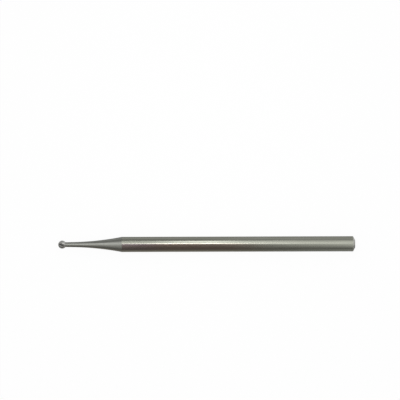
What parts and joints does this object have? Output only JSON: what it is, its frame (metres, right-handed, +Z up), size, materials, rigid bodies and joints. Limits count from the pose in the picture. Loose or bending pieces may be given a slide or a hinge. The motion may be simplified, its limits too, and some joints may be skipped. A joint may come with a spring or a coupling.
{
  "type": "ball bur",
  "caption": "Ball bur: a fluted steel ball on a slim neck that flares into a straight round shank for a handpiece.",
  "frame": {"origin": "on the tool's axis at the shoulder, where the straight shank begins", "axes": "+X along the shank away from the head, +Z up"},
  "size_m": [0.0461, 0.0024, 0.0024],
  "materials": {
    "ground_steel": "ground, satin"
  },
  "bodies": {
    "root": {"ball_bur": "ground_steel"}
  },
  "joints": []
}
